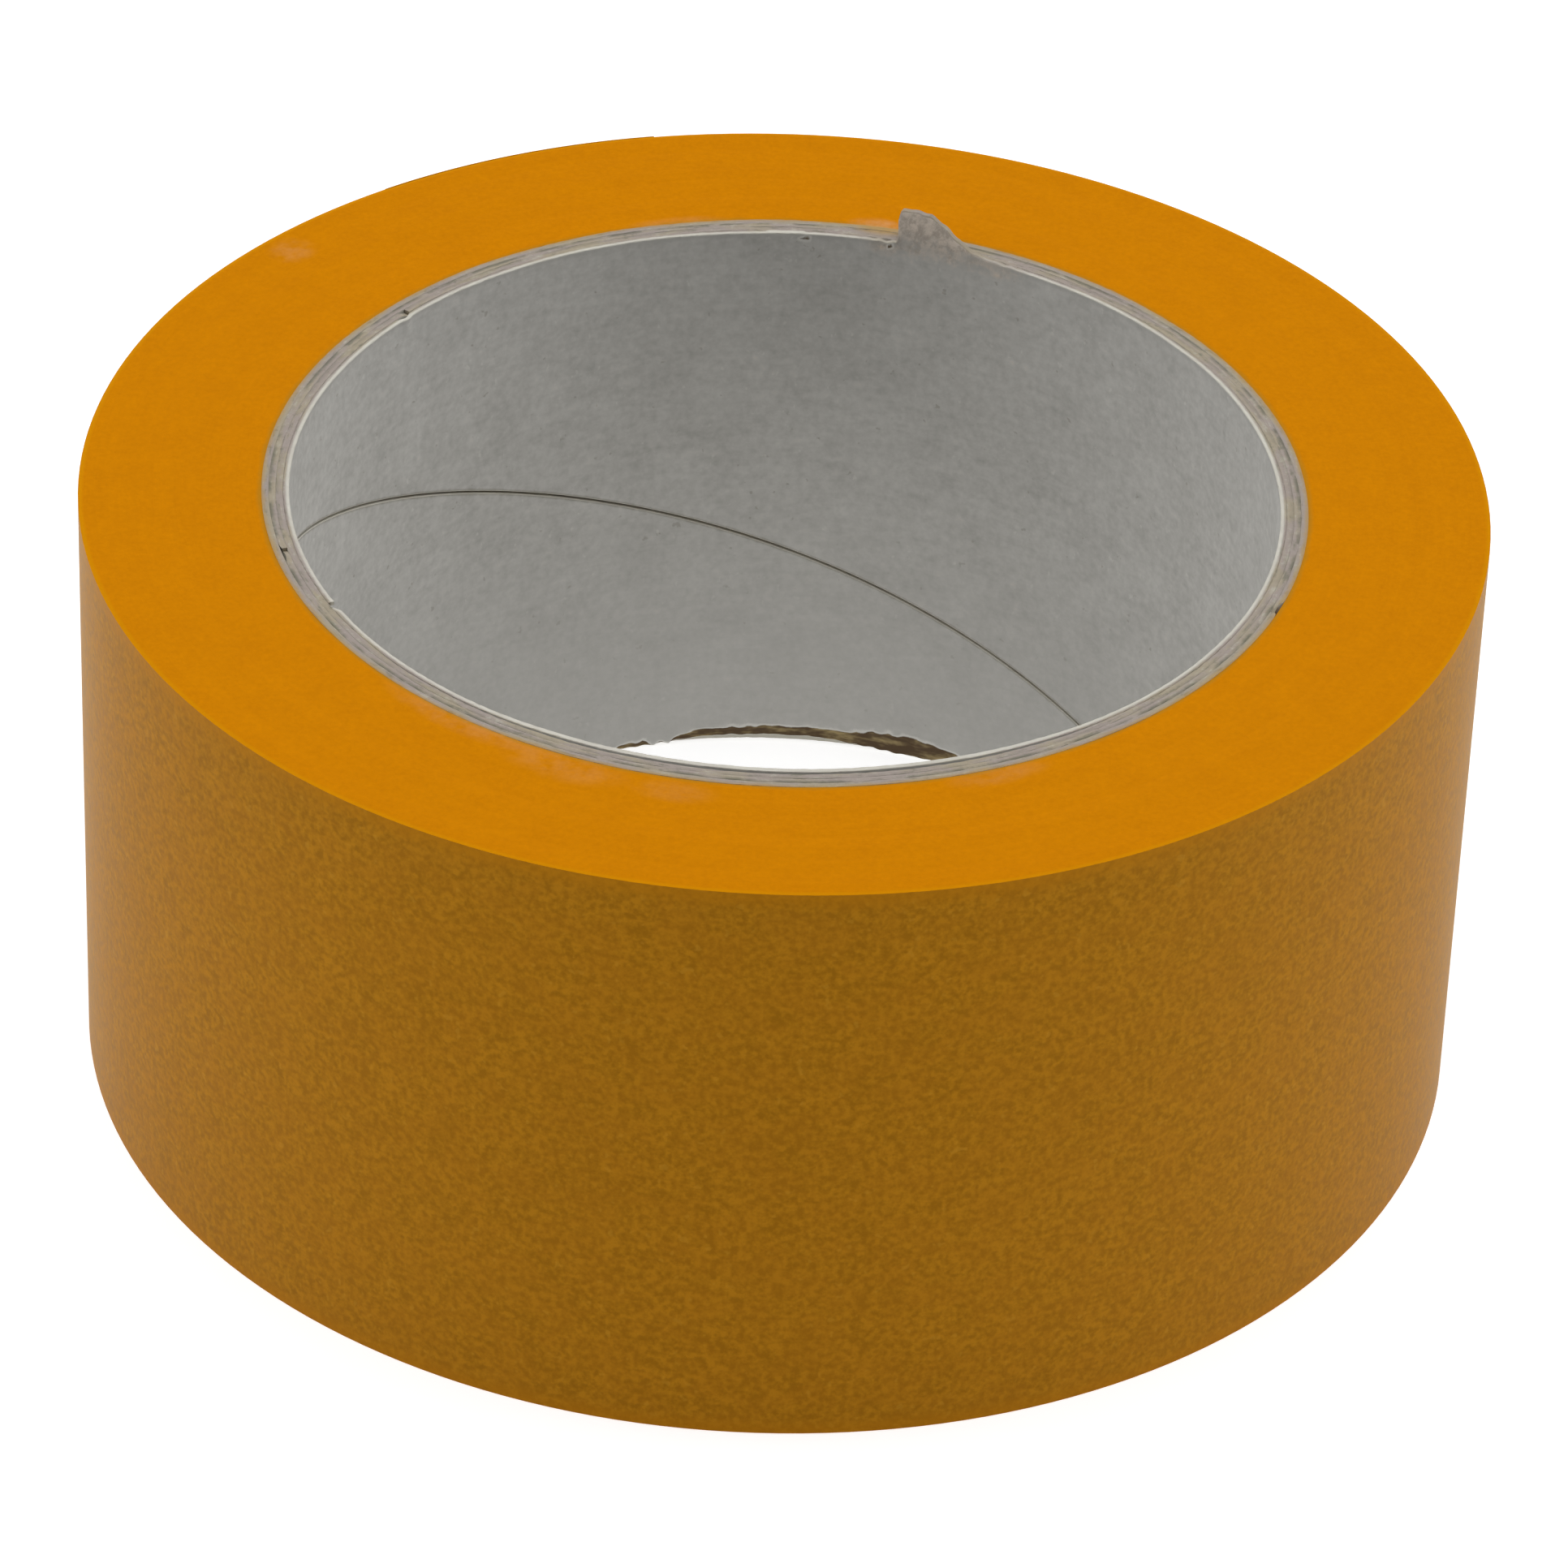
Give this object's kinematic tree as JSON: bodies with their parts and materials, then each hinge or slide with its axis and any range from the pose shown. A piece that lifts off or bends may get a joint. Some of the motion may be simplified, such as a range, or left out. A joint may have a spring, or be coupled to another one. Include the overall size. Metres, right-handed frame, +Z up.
{
  "type": "masking tape roll",
  "caption": "Roll of paper masking tape on a spiral-wound board core, with a free tape end that peels off the roll.",
  "frame": {"origin": "middle of the lower cut face of the roll, on the axis of the core's bore", "axes": "+Z up along the roll's axis, the roll standing on one cut face; the free tape end lies at the +Y side"},
  "size_m": [0.1089, 0.1089, 0.0528],
  "materials": {
    "core_liner": "smooth grey recycled board, matt",
    "core_board": "raw grey-brown board with fibrous cut edges",
    "tape": "golden orange thin paper, fine satin grain outside and matt on its cut edges",
    "tape_end": "golden orange thin paper outside, clear glossy adhesive inside"
  },
  "bodies": {
    "roll": {"core_inner_liner": "core_liner", "core_inner_ply": "core_board", "core_outer_ply": "core_board", "core_outer_wrap": "core_board", "tape_coil": "tape"},
    "tape_end": {"tape_end": "tape_end"}
  },
  "joints": [
    {"name": "tape_end_peel", "type": "hinge", "parent": "roll", "child": "tape_end", "pos_m": [-0.03357, 0.04296, 0.025], "axis": [0, 0, 1], "range_deg": [0, 150]}
  ]
}
